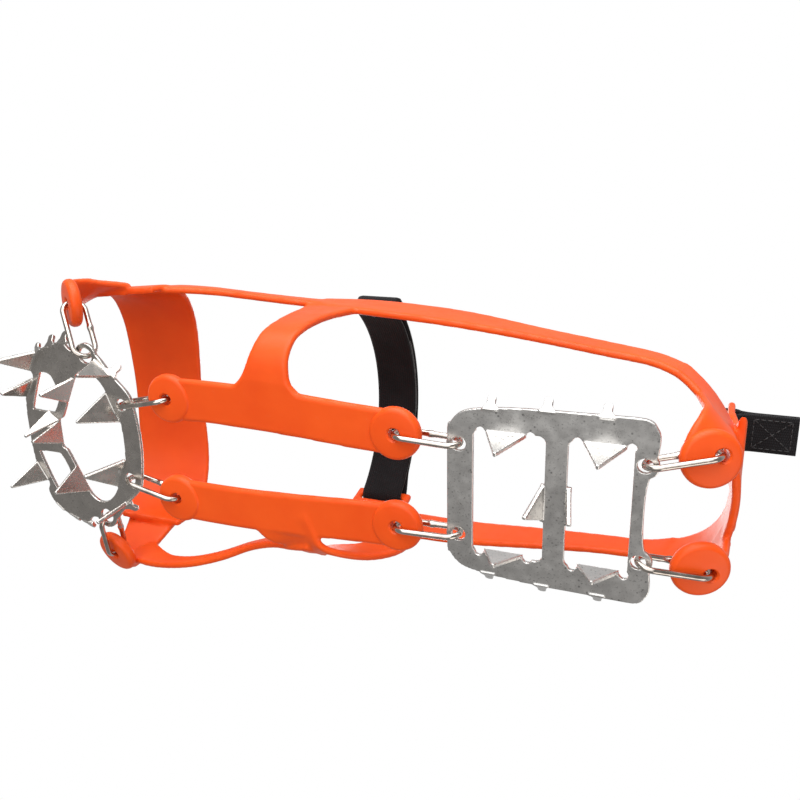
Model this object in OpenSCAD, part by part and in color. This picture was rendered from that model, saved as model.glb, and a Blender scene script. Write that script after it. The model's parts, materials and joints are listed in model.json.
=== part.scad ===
// Slip-on ice cleats for a shoe: an elastomer harness that carries two toothed steel plates on oval links.
// X runs from heel to toe, Y to the wearer's left, Z up.  The spike tips stand on z = 0.  Millimetres.

/* [Plates] */
// Thickness of the two steel plates
plate_t = 1.6; // [1.2:0.1:2.5]
// How far every spike reaches below the plates
spike_len = 13.5; // [9:0.5:18]
// Width of the flat left at the point of a spike
spike_tip = 1.0; // [0.4:0.1:2]
// Bore of the four link holes in the heel plate and the two rear ones in the forefoot plate
hole_d = 5; // [4:0.1:6]
// Bore of the two outer link holes in the forefoot plate
outer_hole_d = 6.4; // [5.6:0.1:7]
// Distance from the heel plate centre to the rear holes of the forefoot plate
plate_gap = 176.5; // [150:1:200]

/* [Links] */
// Wire diameter of the oval links
wire_d = 2.2; // [1.8:0.1:2.6]
// Distance from the plate hole to the disc hole across one link
link_pitch = 24; // [20:0.5:28]
// Centre-line radius of the rounded link ends
link_r = 4.5; // [4:0.1:5.5]

/* [Harness] */
// Thickness of the elastomer bands
band_t = 3; // [2:0.25:5]
// Thickness of the round end discs
disc_t = 4.6; // [3.5:0.1:5]
// Diameter of the round end discs
disc_d = 20; // [17:0.5:23]
// Bore of the disc holes
disc_hole_d = 4.6; // [4:0.1:5.2]
// Width of the two straps under the arch
strap_w = 17.5; // [14:0.5:20]

/* [Webbing] */
// Thickness of the webbing
web_t = 1.8; // [1:0.1:2.5]
// Width of the instep webbing
web_w = 19; // [15:1:22]
// Width of the heel pull loop
pull_w = 16; // [12:1:18]
// Thickness of each half of the hook-and-loop closure
patch_t = 0.8; // [0.5:0.1:1.2]

/* [Hidden] */
$fn = 48;
heel_x = -74.42;
heel_y = 1.37;
plate_mid = plate_t / 2;
prong_lean = 42;
heel_holes = [31.5, 17.4];
rear_holes = [0, 16.4];
outer_holes = [15.2, 36];
lug_x = 95;
bar = [46, 81];
bar_sec = [3, 4];
wrap_r = 3.6;
arch_top = 100;
// The instep webbing is an arc that meets both bar wraps tangentially.
arch_z = (bar[0] * bar[0] + bar[1] * bar[1] - pow(arch_top + wrap_r, 2)) / (2 * (bar[1] - arch_top - wrap_r));
arch_r = arch_top - arch_z;
bar_ang = atan2(bar[1] - arch_z, bar[0]);
flap_rad = arch_r + web_t + 2 * patch_t + 0.35;
flap_gap = 1.3;
flap_end_ang = 104;
pull_bar = [-56, 95];
pull_in = 3.4;

// Everything is drawn from the heel plate centre with z = 0 on the underside of the plates.
module seat() translate([heel_x, heel_y, spike_len]) children();

function unit(v) = v / norm(v);
function catmull(a, b, c, d, u) =
  0.5 * (2 * b + (c - a) * u + (2 * a - 5 * b + 4 * c - d) * u * u + (3 * b - a - 3 * c + d) * u * u * u);
function clampi(i, n) = min(max(i, 0), n - 1);
function smooth_row(s, i, u) =
  catmull(s[clampi(i - 1, len(s))], s[i], s[clampi(i + 1, len(s))], s[clampi(i + 2, len(s))], u);
function smooth(s, k) =
  concat([for (i = [0 : len(s) - 2], j = [0 : k - 1]) smooth_row(s, i, j / k)], [s[len(s) - 1]]);
// A closed outline with rounded corners through the given points.
function smooth_loop(s, k = 4) =
  let (n = len(s)) [for (i = [0 : n - 1], j = [0 : k - 1])
    catmull(s[(i + n - 1) % n], s[i], s[(i + 1) % n], s[(i + 2) % n], j / k)];
function pos(r) = [r[0], r[1], r[2]];
function out(r) = [r[3], r[4], r[5]];

// A flat band of rectangular section.  Each station is [x, y, z, outward normal x, y, z, width].
module band(stations, t, k = 5) {
  s = smooth(stations, k);
  n = len(s);
  corners = [for (i = [0 : n - 1])
    let (tan = unit(pos(s[clampi(i + 1, n)]) - pos(s[clampi(i - 1, n)])),
         side = unit(cross(tan, out(s[i]))),
         up = cross(side, tan),
         hw = side * s[i][6] / 2,
         ht = up * t / 2)
    each [pos(s[i]) + hw + ht, pos(s[i]) - hw + ht, pos(s[i]) - hw - ht, pos(s[i]) + hw - ht]];
  skin = [for (i = [0 : n - 2], j = [0 : 3])
    let (a = 4 * i + j, b = 4 * i + (j + 1) % 4)
    each [[a, b, b + 4], [a, b + 4, a + 4]]];
  last = 4 * (n - 1);
  caps = [[3, 2, 1], [3, 1, 0], [last, last + 1, last + 2], [last, last + 2, last + 3]];
  polyhedron(corners, concat(skin, caps));
}

// Turns local +X along a link: azimuth in plan, elevation above the plates, roll about the link.
module aim(from, dir) translate(from) rotate([0, -dir[1], dir[0]]) rotate([dir[2], 0, 0]) children();

// Link directions, [azimuth, elevation, roll], drawn from the plate hole towards the disc.
dir_heel_front = [2, 0, 0];
dir_heel_rear = [170, 19, 0];
dir_fore_rear = [168, 0, 0];
dir_toe_left = [60, 20, -30];
dir_toe_right = [-78, 20, 8];

function turn(dir, side) = [dir[0] * side, dir[1], dir[2] * side];
function hole_at(along, xy, side) = [along + xy[0], side * xy[1], plate_mid];
function heel_front(side) = hole_at(0, heel_holes, side);
function heel_rear(side) = hole_at(0, [-heel_holes[0], heel_holes[1]], side);
function fore_rear(side) = hole_at(plate_gap, rear_holes, side);
function toe_hole(side) = hole_at(plate_gap, outer_holes, side);

module link() {
  near = link_r - 0.35;
  far = link_pitch + 0.35 - link_r;
  for (e = [[near, 90], [far, -90]])
    translate([e[0], 0, 0]) rotate([90, 0, 0]) rotate([0, 0, e[1]])
      rotate_extrude(angle = 180) translate([link_r, 0]) circle(d = wire_d);
  for (z = [-link_r, link_r])
    translate([near, 0, z]) rotate([0, 90, 0]) cylinder(d = wire_d, h = far - near);
  translate([link_pitch / 2 - 1.3, 0, link_r]) rotate([0, 90, 0]) cylinder(d = wire_d + 0.5, h = 2.6);
}

module link_at(from, dir) seat() aim(from, dir) link();

// A round end disc and its bore at the disc hole of a link.
// inset moves the disc off its bore, towards the plate.
module disc_on(from, dir, inset = [0, 0])
  aim(from, dir) translate([link_pitch - inset[0], inset[1], -disc_t / 2]) cylinder(d = disc_d, h = disc_t);
module bore_on(from, dir)
  aim(from, dir) translate([link_pitch, 0, -disc_t]) cylinder(d = disc_hole_d, h = 2 * disc_t);

// One folded spike: [x, y, base width, heading of the lean, lean angle, sideways shift of the point].
module spike(s) {
  lean = s[4];
  reach_down = (spike_len + plate_t * 0.7 - plate_t / 2 * sin(abs(lean))) / cos(lean);
  translate([s[0], s[1], plate_t * 0.7]) rotate([0, 0, s[3]]) rotate([0, -lean, 0]) rotate([90, 0, 90])
    translate([0, 0, -plate_t / 2]) linear_extrude(plate_t)
      polygon([[-s[2] / 2, 0], [s[2] / 2, 0],
        [s[5] + spike_tip / 2, -reach_down], [s[5] - spike_tip / 2, -reach_down]]);
}

// One small prong bent up from the rim, with flared shoulders: [x, y, heading].
module prong(p) {
  half = [[-1, 2.7], [0.2, 2.5], [0.9, 2], [1.4, 1.6], [2, 1.5], [3.4, 1.5]];
  translate([p[0], p[1], plate_mid]) rotate([0, 0, p[2]]) rotate([0, -prong_lean, 0])
    translate([0, 0, -plate_t / 2]) {
      linear_extrude(plate_t) polygon(mirror_y(half));
      translate([3.4, 0, 0]) cylinder(d = 3, h = plate_t);
    }
}

function mirror_y(pts) = concat(pts, [for (i = [len(pts) - 1 : -1 : 0]) [pts[i][0], -pts[i][1]]]);
function both(list) = concat(list, [for (s = list) [s[0], -s[1], s[2], -s[3], s[4], -s[5]]]);

heel_rim = mirror_y([[35.8, 20.5], [34.8, 25], [30.5, 29.5], [22.5, 31.4], [8, 32.6], [-18, 33.2],
  [-31, 33.2], [-34.6, 30.4], [-35.8, 26.5], [-35, 19], [-32.9, 11.5], [-32.3, 5]]);
heel_window_front = [1, 26.3];
heel_window_rear = [-28, -6.6];
heel_window_y = 23.4;
heel_spikes = both([[15, 22.7, 14.6, 90, -9, 0], [-18.3, 22.7, 14.6, 90, -9, 0]]);
heel_bar_spikes = [[1.6, -0.8, 13.5, 0, 12, 0], [-7.2, -0.8, 13.5, 180, 12, 0]];

module rounded_window(x0, x1, y, r) {
  translate([x0, -y + r, -1]) cube([x1 - x0, 2 * (y - r), plate_t + 2]);
  translate([x0 + r, -y, -1]) cube([x1 - x0 - 2 * r, 2 * y, plate_t + 2]);
  for (cx = [x0 + r, x1 - r], cy = [-y + r, y - r])
    translate([cx, cy, -1]) cylinder(r = r, h = plate_t + 2);
}

module heel_plate() color("lightgray") seat() {
  difference() {
    union() {
      linear_extrude(plate_t) polygon(smooth_loop(heel_rim));
      for (sx = [-1, 1], sy = [-1, 1])
        translate([sx * heel_holes[0], sy * heel_holes[1], 0]) cylinder(r = 4.6, h = plate_t);
    }
    difference() {
      union() {
        rounded_window(heel_window_front[0], heel_window_front[1], heel_window_y, 2.6);
        rounded_window(heel_window_rear[0], heel_window_rear[1], heel_window_y, 2.6);
      }
      // The centre bar is wider where its two spikes fold down.
      translate([-8.2, -7.8, -2]) cube([10.6, 14, plate_t + 4]);
    }
    // Relief notches beside the spike roots.
    for (x = [6.2, 23.8, -9.5, -27.1], sy = [-1, 1])
      translate([x, sy * (heel_window_y - 0.4), -1]) cylinder(r = 1.5, h = plate_t + 2);
    for (sx = [-1, 1], sy = [-1, 1])
      translate([sx * heel_holes[0], sy * heel_holes[1], -1]) cylinder(d = hole_d, h = plate_t + 2);
  }
  for (s = heel_spikes) spike(s);
  for (s = heel_bar_spikes) spike(s);
  for (x = [20.5, 1, -18.5], sy = [-1, 1])
    prong([x, sy * (x > 10 ? 31.4 : 32.6), sy * 90]);
}

fore_rim = mirror_y([[51, 14], [45.2, 23.6], [46, 28.5], [43, 34.2], [37, 38], [30, 40.4], [26, 40.4],
  [22.5, 37.6], [14, 37.6], [9.6, 36.5], [3, 28.6], [-3, 22.6], [-5.4, 18.5], [-6.8, 10], [-7.4, 3]]);
fore_opening = mirror_y([[34.4, 5.4], [31.6, 8], [26.8, 18], [22.6, 26], [18.6, 29.2], [14.4, 29],
  [10.6, 26.4], [7.6, 22.2], [4.4, 14.6], [1.4, 8]]);
toe_window = [[47.4, 11], [46.2, 9.6], [37, 9.4], [35.2, 10.6], [32.6, 15.4], [32.4, 18.2], [34.4, 24.4],
  [36.4, 26.4], [39.4, 26.8], [41.6, 25.4]];
fore_spikes = concat(
  both([[4.9, 14.8, 14, -22, 29, 0], [7.4, 31.2, 10.8, 130, 0, -1], [26.1, 20.2, 13, 27, 13, 0]]),
  [[48, 19.2, 10, 31, 8, 0], [48, -19.2, 10, -31, 24, 0], [44.1, 31.2, 10.4, 30, 24, 0],
   [34.6, 0.4, 11, 0, 10, 0], [37.2, 7.6, 7, -55, 24, 0]]);
fore_prongs = [[41, 35.4, 50], [33.6, 39, 72], [26.4, 41, 82], [3.4, 29.4, 128]];

module forefoot_plate() color("lightgray") seat() translate([plate_gap, 0, 0]) {
  difference() {
    union() {
      linear_extrude(plate_t) polygon(smooth_loop(fore_rim));
      for (sy = [-1, 1]) {
        translate([rear_holes[0], sy * rear_holes[1], 0]) cylinder(r = 5, h = plate_t);
        translate([outer_holes[0], sy * outer_holes[1], 0]) cylinder(r = 5.3, h = plate_t);
      }
    }
    translate([0, 0, -1]) linear_extrude(plate_t + 2) polygon(smooth_loop(fore_opening));
    for (sy = [-1, 1]) {
      scale([1, sy, 1]) translate([0, 0, -1]) linear_extrude(plate_t + 2) polygon(smooth_loop(toe_window));
      translate([rear_holes[0], sy * rear_holes[1], -1]) cylinder(d = hole_d, h = plate_t + 2);
      translate([outer_holes[0], sy * outer_holes[1], -1]) cylinder(d = outer_hole_d, h = plate_t + 2);
    }
  }
  for (s = fore_spikes) spike(s);
  for (p = fore_prongs, sy = [-1, 1]) prong([p[0], sy * p[1], sy * p[2]]);
}

module sole_strap(side) difference() {
  union() {
    band([for (p = [[57, 18.4], [74, 19.2], [96, 20.6], [120, 21.6], [138, 21.8], [152, 21.5]])
      [p[0], side * p[1], plate_mid, 0, 0, -1, strap_w]], band_t);
    disc_on(heel_front(side), turn(dir_heel_front, side));
    disc_on(fore_rear(side), turn(dir_fore_rear, side));
  }
  bore_on(heel_front(side), turn(dir_heel_front, side));
  bore_on(fore_rear(side), turn(dir_fore_rear, side));
}

function sided(stations, side) =
  [for (s = stations) [s[0], side * s[1], s[2], s[3], side * s[4], s[5], s[6]]];

// The arms climb from the sole straps to the rails; the right one leans further towards the heel.
module harness_side_arm_left() color("orangered") seat() band([
  [108, 25, 0.8, 0, 0, -1, 36], [107.8, 30, 0.8, 0, 0, -1, 27], [107.5, 34, 0.9, 0, 0.1, -1, 20.5],
  [106.5, 42, 2.4, 0, 0.4, -0.9, 16.5], [105.5, 48, 7.6, 0, 0.85, -0.5, 15.5],
  [105, 50.4, 16, 0, 1, -0.1, 15.5], [105, 51, 30, 0, 1, 0, 16.5], [105, 50.4, 44, 0, 1, 0.1, 20],
  [105, 49.6, 56, 0, 1, 0.15, 26]], band_t);

module harness_side_arm_right() color("orangered") seat() band([
  [104.5, -22, 0.8, 0, 0, -1, 31], [102.6, -25.6, 1, 0, -0.05, -1, 26], [98.6, -29.6, 2, 0, -0.3, -0.95, 20],
  [92.4, -35.9, 4.2, 0.05, -0.7, -0.7, 16.5], [84.5, -39, 10.2, 0.05, -0.93, -0.35, 15.5],
  [77, -42.2, 19, 0, -1, -0.1, 15.5], [73.5, -45, 31, 0, -1, 0.03, 17.5], [75.5, -47, 44, 0, -1, 0.04, 21],
  [80.5, -48.6, 53, 0, -1, 0.02, 27], [84, -49.4, 60, 0, -1, 0.02, 36]], band_t);

// The left rail runs on into the front rail; the right one ends just past its lug.
module rail_rear(side, end) band(sided([
  end, [95, 49.9, 61.6, 0, 1, 0.02, 20.5], [70, 49, 60.6, 0, 1, 0, 21],
  [45, 47.4, 58.8, 0, 1, 0, 19.5], [15, 43.9, 57, 0, 1, 0.03, 16], [-10, 41, 55, -0.06, 1, 0, 14],
  [-28, 39, 52.6, -0.25, 1, 0, 13.5], [-38.5, 36, 49.8, -0.5, 0.9, 0, 16]], side), band_t);

// The left front rail rides high on the shoe; the right one is pulled down along the edge of the sole.
module harness_rail_front_left() color("orangered") seat() band([
  [112, 50.3, 60, 0, 1, 0.12, 13], [128, 51.6, 57.4, 0, 1, 0.1, 10], [146, 53, 55.6, 0, 1, 0.08, 8],
  [164, 54.2, 54.6, 0, 1, 0.06, 8.5], [182, 54.6, 52.6, 0.02, 1, 0.1, 14],
  [194, 54, 50, 0.05, 1, 0.15, 22]], band_t);

module harness_rail_front_right() color("orangered") seat() band([
  [92, -37.2, 5, 0, -0.8, -0.6, 13], [102, -38.4, 8, 0, -1, -0.3, 11],
  [113, -39.8, 10.4, -0.1, -1, -0.1, 9], [126, -44.2, 11, -0.1, -1, -0.1, 7.5],
  [140, -50.4, 9.2, -0.15, -1, 0, 7], [154, -55.2, 8, -0.15, -1, 0, 7.5],
  [168, -58.9, 9.6, -0.1, -1, 0, 9], [180, -61.6, 14, -0.1, -1, 0, 12],
  [195, -64, 22, 0, -1, 0.05, 16]], band_t);

module harness_toe_bridge() color("orangered") seat() {
  half = [[199, 55.2, 36, 0.08, 1, -0.05, 30], [200.5, 54.6, 46, 0.1, 1, 0.16, 34],
    [202.5, 50.6, 56.6, 0.14, 0.8, 0.55, 37], [204.5, 42, 64.4, 0.18, 0.42, 0.9, 38],
    [206, 28, 69.4, 0.2, 0.16, 0.96, 37]];
  crown = [[207, 0, 71.4, 0.2, 0, 0.98, 35]];
  band(concat(half, crown, [for (i = [len(half) - 1 : -1 : 0]) sided([half[i]], -1)[0]]), band_t);
}

// A disc at the toe with the short strap that turns up the side of the shoe to the bridge.
module toe_ear(side, dir, path) {
  from = toe_hole(side);
  difference() {
    union() {
      disc_on(from, dir);
      band(path, band_t);
    }
    bore_on(from, dir);
  }
}

// The band round the heel sits a little turned, so its two corners differ.
module harness_heel_band() color("orangered") seat() {
  band([[-36, 37.2, 50.6, -0.4, 1, 0, 15], [-41.4, 33.8, 48.6, -0.65, 0.9, 0, 16],
    [-47.4, 28.6, 45.4, -0.8, 0.7, 0, 19], [-53.2, 21.4, 42, -0.9, 0.44, 0, 24],
    [-57.8, 12.6, 39.8, -1, 0.2, 0, 29], [-60, 0, 38.4, -1, 0, 0, 31],
    [-59, -13, 39.6, -1, -0.16, 0, 29], [-56.4, -22, 42, -0.92, -0.4, 0, 25],
    [-51, -29.2, 45.4, -0.8, -0.7, 0, 20], [-44, -34.2, 48.4, -0.65, -0.9, 0, 17],
    [-36, -37.4, 50.6, -0.4, -1, 0, 15]], band_t);
  // The tongue rises from the band to the pull lug.
  band([[-60, 0, 44, -1, 0, 0, 46], [-60, 0, 52, -1, 0, 0.04, 38], [-59.4, 0, 62, -1, 0, 0.1, 28],
    [-58, 0, 72, -1, 0, 0.14, 24], [-56.5, 0, 82, -1, 0, 0.1, 24]], band_t);
}

// A disc under the heel with the neck that turns up into the heel band.
module heel_ear(side, path) {
  dir = turn(dir_heel_rear, side);
  difference() {
    union() {
      disc_on(heel_rear(side), dir, [3.4, side * 1]);
      band(path, band_t);
    }
    bore_on(heel_rear(side), dir);
  }
}

// A tab with a slot and a bar for webbing: drawn in its own plane, bar centre at the origin, root below.
module lug(wide, post, drop, slot_h, t) {
  difference() {
    union() {
      translate([-wide / 2 - post, -t / 2, -drop]) cube([wide + 2 * post, t, drop + bar_sec[1] / 2 - 1]);
      translate([1.5 - wide / 2 - post, -t / 2, -drop]) cube([wide + 2 * post - 3, t, drop + bar_sec[1] / 2]);
    }
    translate([-wide / 2, -t, -bar_sec[1] / 2 - slot_h]) cube([wide, 2 * t, slot_h]);
  }
}

module instep_lug(side)
  translate([lug_x, side * bar[0], bar[1]]) rotate([side * 14, 0, 0])
    lug(web_w + 1, 3.6, 12.5, 3.4, bar_sec[0]);

module harness_pull_lug() color("orangered") seat()
  translate([pull_bar[0], 0, pull_bar[1]]) rotate([0, 0, 90]) lug(pull_w + 1.4, 3.4, 18, 4, bar_sec[0]);

function polar(r, a) = [r * cos(a), arch_z + r * sin(a)];
function about_bar(a) = [bar[0] + wrap_r * cos(a), bar[1] + wrap_r * sin(a)];
function arc(r, a0, a1, n) = [for (i = [0 : n]) polar(r, a0 + (a1 - a0) * i / n)];
function path_dir(p, i) = unit(p[clampi(i + 1, len(p))] - p[clampi(i - 1, len(p))]);
function ribbon(p, t) = concat(
  [for (i = [0 : len(p) - 1]) let (d = path_dir(p, i)) p[i] + t / 2 * [-d[1], d[0]]],
  [for (i = [len(p) - 1 : -1 : 0]) let (d = path_dir(p, i)) p[i] - t / 2 * [-d[1], d[0]]]);

// A profile in the YZ plane drawn out along X, centred on the instep lugs.
module webbing(profile, w)
  translate([lug_x - w / 2, 0, 0]) rotate([90, 0, 90]) linear_extrude(w) polygon(profile);

module instep_strap() color("dimgray") seat() {
  wrap = [for (i = [1 : 12]) about_bar(bar_ang + 180 + i * 15)];
  over = arc(arch_r, 180 - bar_ang, bar_ang, 40);
  tail = [for (i = [0 : 6]) let (u = i / 6)
    polar(arch_r + 2 * wrap_r - (2 * wrap_r - web_t * 0.9) * u * u * (3 - 2 * u), bar_ang + 14 * u)];
  flat = arc(arch_r + web_t * 0.9, bar_ang + 16, bar_ang + 33.2, 8);
  webbing(ribbon(concat(over, wrap), web_t), web_w);
  // The right end is wrapped round its bar and sewn back on to the webbing.
  mirror([0, 1, 0]) webbing(ribbon(concat([polar(arch_r, bar_ang + 0.5)], [about_bar(bar_ang + 180)], wrap,
    [for (i = [1 : 6]) tail[i]], flat), web_t), web_w);
}

function flap_path() =
  let (a0 = bar_ang + flap_gap / arch_r * 180 / PI)
  concat([for (i = [0 : 7]) let (u = i / 7)
    polar(arch_r + 2 * wrap_r + (flap_rad - arch_r - 2 * wrap_r) * u * u * (3 - 2 * u), a0 + 12 * u)],
    arc(flap_rad, a0 + 14, flap_end_ang, 24));

module instep_strap_flap() color("dimgray") seat() webbing(ribbon(flap_path(), web_t), web_w);

module hook_patch() color("black") seat()
  webbing(ribbon(arc(flap_rad - web_t / 2 - patch_t / 2, bar_ang + 24, flap_end_ang - 4, 20), patch_t),
    web_w - 1);

module loop_patch() color("black") seat()
  webbing(ribbon(arc(arch_r + web_t / 2 + patch_t / 2, bar_ang + 22, 122, 30), patch_t), web_w - 1);

module heel_pull_loop() color("dimgray") seat() translate([pull_bar[0], pull_w / 2, pull_bar[1]])
  rotate([90, 0, 0]) linear_extrude(pull_w) difference() {
    union() {
      circle(r = pull_in + web_t * 0.9);
      translate([-26, -web_t * 0.9]) square([24, web_t * 1.8]);
    }
    circle(r = pull_in);
  }

toe_left_path = [[204.5, 55.4, 10.3, 0.64, -0.04, -0.77, 17], [209.8, 55, 14.7, 0.68, 0.05, -0.74, 17],
  [213, 55.2, 20, 0.9, 0.3, -0.3, 17], [213, 55.8, 27, 0.75, 0.65, 0, 18],
  [210.5, 56, 34, 0.45, 0.9, 0.05, 20], [206.5, 55.8, 43, 0.15, 1, 0.05, 25]];
toe_right_path = [[196.8, -59.9, 9.7, 0.17, -0.35, -0.92, 17], [197.8, -63.2, 11.6, 0.2, -0.6, -0.8, 17],
  [198.6, -65.2, 16, 0.1, -1, -0.3, 17], [199.2, -65, 22, 0.06, -1, 0.06, 18],
  [200, -62, 31, 0.04, -1, 0.2, 21], [200.8, -56.8, 42, 0.06, -1, 0.2, 26]];

heel_left_path = [[-50.4, 21.6, 7.9, -0.3, 0.1, -1, 18], [-51.6, 25.4, 9.4, -0.34, 0.3, -0.9, 17.5],
  [-52.2, 27.8, 13.4, -0.62, 0.62, -0.5, 16], [-52, 28.4, 20, -0.74, 0.66, -0.1, 14.5],
  [-50.6, 27.6, 28, -0.76, 0.64, 0, 14], [-48.8, 26.6, 38, -0.78, 0.62, 0.05, 15]];
heel_right_path = [[-51.4, -19.6, 8.2, -0.4, -0.1, -1, 18], [-54, -21, 10, -0.6, -0.3, -0.8, 16],
  [-55.8, -21.8, 14.4, -0.86, -0.42, -0.3, 13.5], [-56.4, -22, 21, -0.9, -0.42, -0.05, 12.5],
  [-56.4, -21.8, 28, -0.9, -0.42, 0, 12.5], [-55.8, -21.6, 36, -0.9, -0.4, 0.05, 14]];

// The repeated pieces, one module for each named piece.
module link_heel_front_left() color("silver") link_at(heel_front(1), turn(dir_heel_front, 1));
module link_heel_front_right() color("silver") link_at(heel_front(-1), turn(dir_heel_front, -1));
module link_heel_rear_left() color("silver") link_at(heel_rear(1), turn(dir_heel_rear, 1));
module link_heel_rear_right() color("silver") link_at(heel_rear(-1), turn(dir_heel_rear, -1));
module link_fore_rear_left() color("silver") link_at(fore_rear(1), turn(dir_fore_rear, 1));
module link_fore_rear_right() color("silver") link_at(fore_rear(-1), turn(dir_fore_rear, -1));
module link_toe_left() color("silver") link_at(toe_hole(1), dir_toe_left);
module link_toe_right() color("silver") link_at(toe_hole(-1), dir_toe_right);
module harness_sole_strap_left() color("orangered") seat() sole_strap(1);
module harness_sole_strap_right() color("orangered") seat() sole_strap(-1);
module harness_rail_rear_left() color("orangered") seat() rail_rear(1, [115, 50.2, 60.6, 0, 1, 0.06, 16]);
module harness_rail_rear_right() color("orangered") seat() rail_rear(-1, [109, 50.2, 64.4, 0, 1, 0.06, 12.4]);
module harness_toe_ear_left() color("orangered") seat() toe_ear(1, dir_toe_left, toe_left_path);
module harness_toe_ear_right() color("orangered") seat() toe_ear(-1, dir_toe_right, toe_right_path);
module harness_heel_ear_left() color("orangered") seat() heel_ear(1, heel_left_path);
module harness_heel_ear_right() color("orangered") seat() heel_ear(-1, heel_right_path);
module harness_instep_lug_left() color("orangered") seat() instep_lug(1);
module harness_instep_lug_right() color("orangered") seat() instep_lug(-1);

heel_plate();
forefoot_plate();
link_heel_front_left();
link_heel_front_right();
link_heel_rear_left();
link_heel_rear_right();
link_fore_rear_left();
link_fore_rear_right();
link_toe_left();
link_toe_right();
harness_sole_strap_left();
harness_sole_strap_right();
harness_side_arm_left();
harness_side_arm_right();
harness_rail_rear_left();
harness_rail_rear_right();
harness_rail_front_left();
harness_rail_front_right();
harness_toe_bridge();
harness_toe_ear_left();
harness_toe_ear_right();
harness_heel_band();
harness_heel_ear_left();
harness_heel_ear_right();
harness_pull_lug();
harness_instep_lug_left();
harness_instep_lug_right();
instep_strap();
instep_strap_flap();
hook_patch();
loop_patch();
heel_pull_loop();
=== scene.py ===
"""Slip-on shoe ice cleats: an orange elastomer harness that carries two toothed steel plates on oval links.

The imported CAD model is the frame.  Lengths here are millimetres, measured from the middle of the heel plate
with z = 0 on the underside of the plates; at() turns them into the frame's metres.
"""

import json
import math

import bpy
import numpy as np
from mathutils import Matrix, Vector


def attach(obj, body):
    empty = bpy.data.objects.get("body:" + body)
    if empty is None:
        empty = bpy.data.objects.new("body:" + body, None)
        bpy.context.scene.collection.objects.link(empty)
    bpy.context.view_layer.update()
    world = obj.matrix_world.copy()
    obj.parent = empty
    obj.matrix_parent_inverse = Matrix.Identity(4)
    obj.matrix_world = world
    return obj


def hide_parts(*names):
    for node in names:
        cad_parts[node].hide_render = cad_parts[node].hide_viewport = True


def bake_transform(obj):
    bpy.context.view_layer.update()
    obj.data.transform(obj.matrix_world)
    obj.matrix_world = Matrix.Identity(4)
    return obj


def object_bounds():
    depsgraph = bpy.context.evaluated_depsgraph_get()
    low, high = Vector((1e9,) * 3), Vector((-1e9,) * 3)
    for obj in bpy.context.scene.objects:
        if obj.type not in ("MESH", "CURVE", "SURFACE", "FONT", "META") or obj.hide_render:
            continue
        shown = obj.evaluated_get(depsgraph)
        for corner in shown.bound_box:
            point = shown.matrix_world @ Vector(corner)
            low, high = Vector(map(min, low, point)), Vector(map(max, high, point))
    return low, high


MM = 0.001
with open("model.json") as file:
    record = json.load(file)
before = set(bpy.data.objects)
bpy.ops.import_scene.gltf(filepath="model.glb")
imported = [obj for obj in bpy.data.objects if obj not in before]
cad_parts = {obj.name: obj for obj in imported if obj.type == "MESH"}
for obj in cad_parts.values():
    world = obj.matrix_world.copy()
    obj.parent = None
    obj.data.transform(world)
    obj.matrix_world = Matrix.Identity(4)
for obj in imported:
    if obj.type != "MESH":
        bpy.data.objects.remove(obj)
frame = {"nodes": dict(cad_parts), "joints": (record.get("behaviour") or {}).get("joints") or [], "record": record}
cad_low, cad_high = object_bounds()
RECORD = frame["record"]
JOINTS = {j["name"]: j for j in frame["joints"]}

# ---------------------------------------------------------------- the shared frame

PLATE_T = 1.6
PLATE_MID = PLATE_T / 2
PLATE_GAP = 176.5
BAND_T = 3.0
DISC_R = 10.0
DISC_HALF = 2.3
BORE_R = 2.3
LINK_PITCH = 24.0
LINK_R = 4.5
LINK_OVER = 0.35
WIRE_R = 1.1
# The plate hole of each kind of link, as (x, y) on the left side
HOLES = {"heel_front": (31.5, 17.4), "heel_rear": (-31.5, 17.4), "fore_rear": (PLATE_GAP, 16.4),
         "toe": (PLATE_GAP + 15.2, 36.0)}
SIDES = {"left": 1, "right": -1}

# The heel_seat mount is on the top of the heel plate, just behind its middle.
SEAT_BEHIND_MIDDLE = 2.8
heel_seat = Vector(next(m["pos_m"] for m in RECORD["mounts"] if m["name"] == "heel_seat"))
ORIGIN = heel_seat + Vector((SEAT_BEHIND_MIDDLE, 0, -PLATE_T)) * MM


def at(x, y, z):
    """A point of the object, given in millimetres, in the frame's metres."""
    return ORIGIN + Vector((x, y, z)) * MM


def mm(point):
    """The opposite of at()."""
    return (Vector(point) - ORIGIN) / MM


def link_axes(kind, side):
    """Disc hole in millimetres, direction from the plate towards the disc, and hinge axis of one link."""
    joint = JOINTS[f"link_{kind}_{side}_swing"]
    disc = mm(joint["pos_m"])
    x, y = HOLES[kind]
    along = (disc - Vector((x, SIDES[side] * y, PLATE_MID))).normalized()
    axis = Vector(joint["axis"]).normalized()
    return disc, along, axis


# ---------------------------------------------------------------- camera, lights, backdrop

CAMERA_AT = (-53.7, 123.7, -264.0)
CAMERA_RIGHT = Vector((-0.929, -0.019, 0.369))
CAMERA_BACK = Vector((-0.357, 0.309, -0.882))
CAMERA_LENS = 38.25


def make_camera():
    """The photo's camera, solved from the two flat plates.  Returns its right, up and back directions."""
    back = CAMERA_BACK.normalized()
    right = (CAMERA_RIGHT - back * CAMERA_RIGHT.dot(back)).normalized()
    up = back.cross(right)
    camera = bpy.data.objects.new("camera", bpy.data.cameras.new("camera"))
    bpy.context.scene.collection.objects.link(camera)
    turned = Matrix((right, up, back)).transposed().to_4x4()
    camera.matrix_world = Matrix.Translation(at(*CAMERA_AT)) @ turned
    camera.data.lens = CAMERA_LENS
    camera.data.sensor_width = 36
    camera.data.clip_start = 0.01
    bpy.context.scene.camera = camera
    return right, up, back


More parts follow.
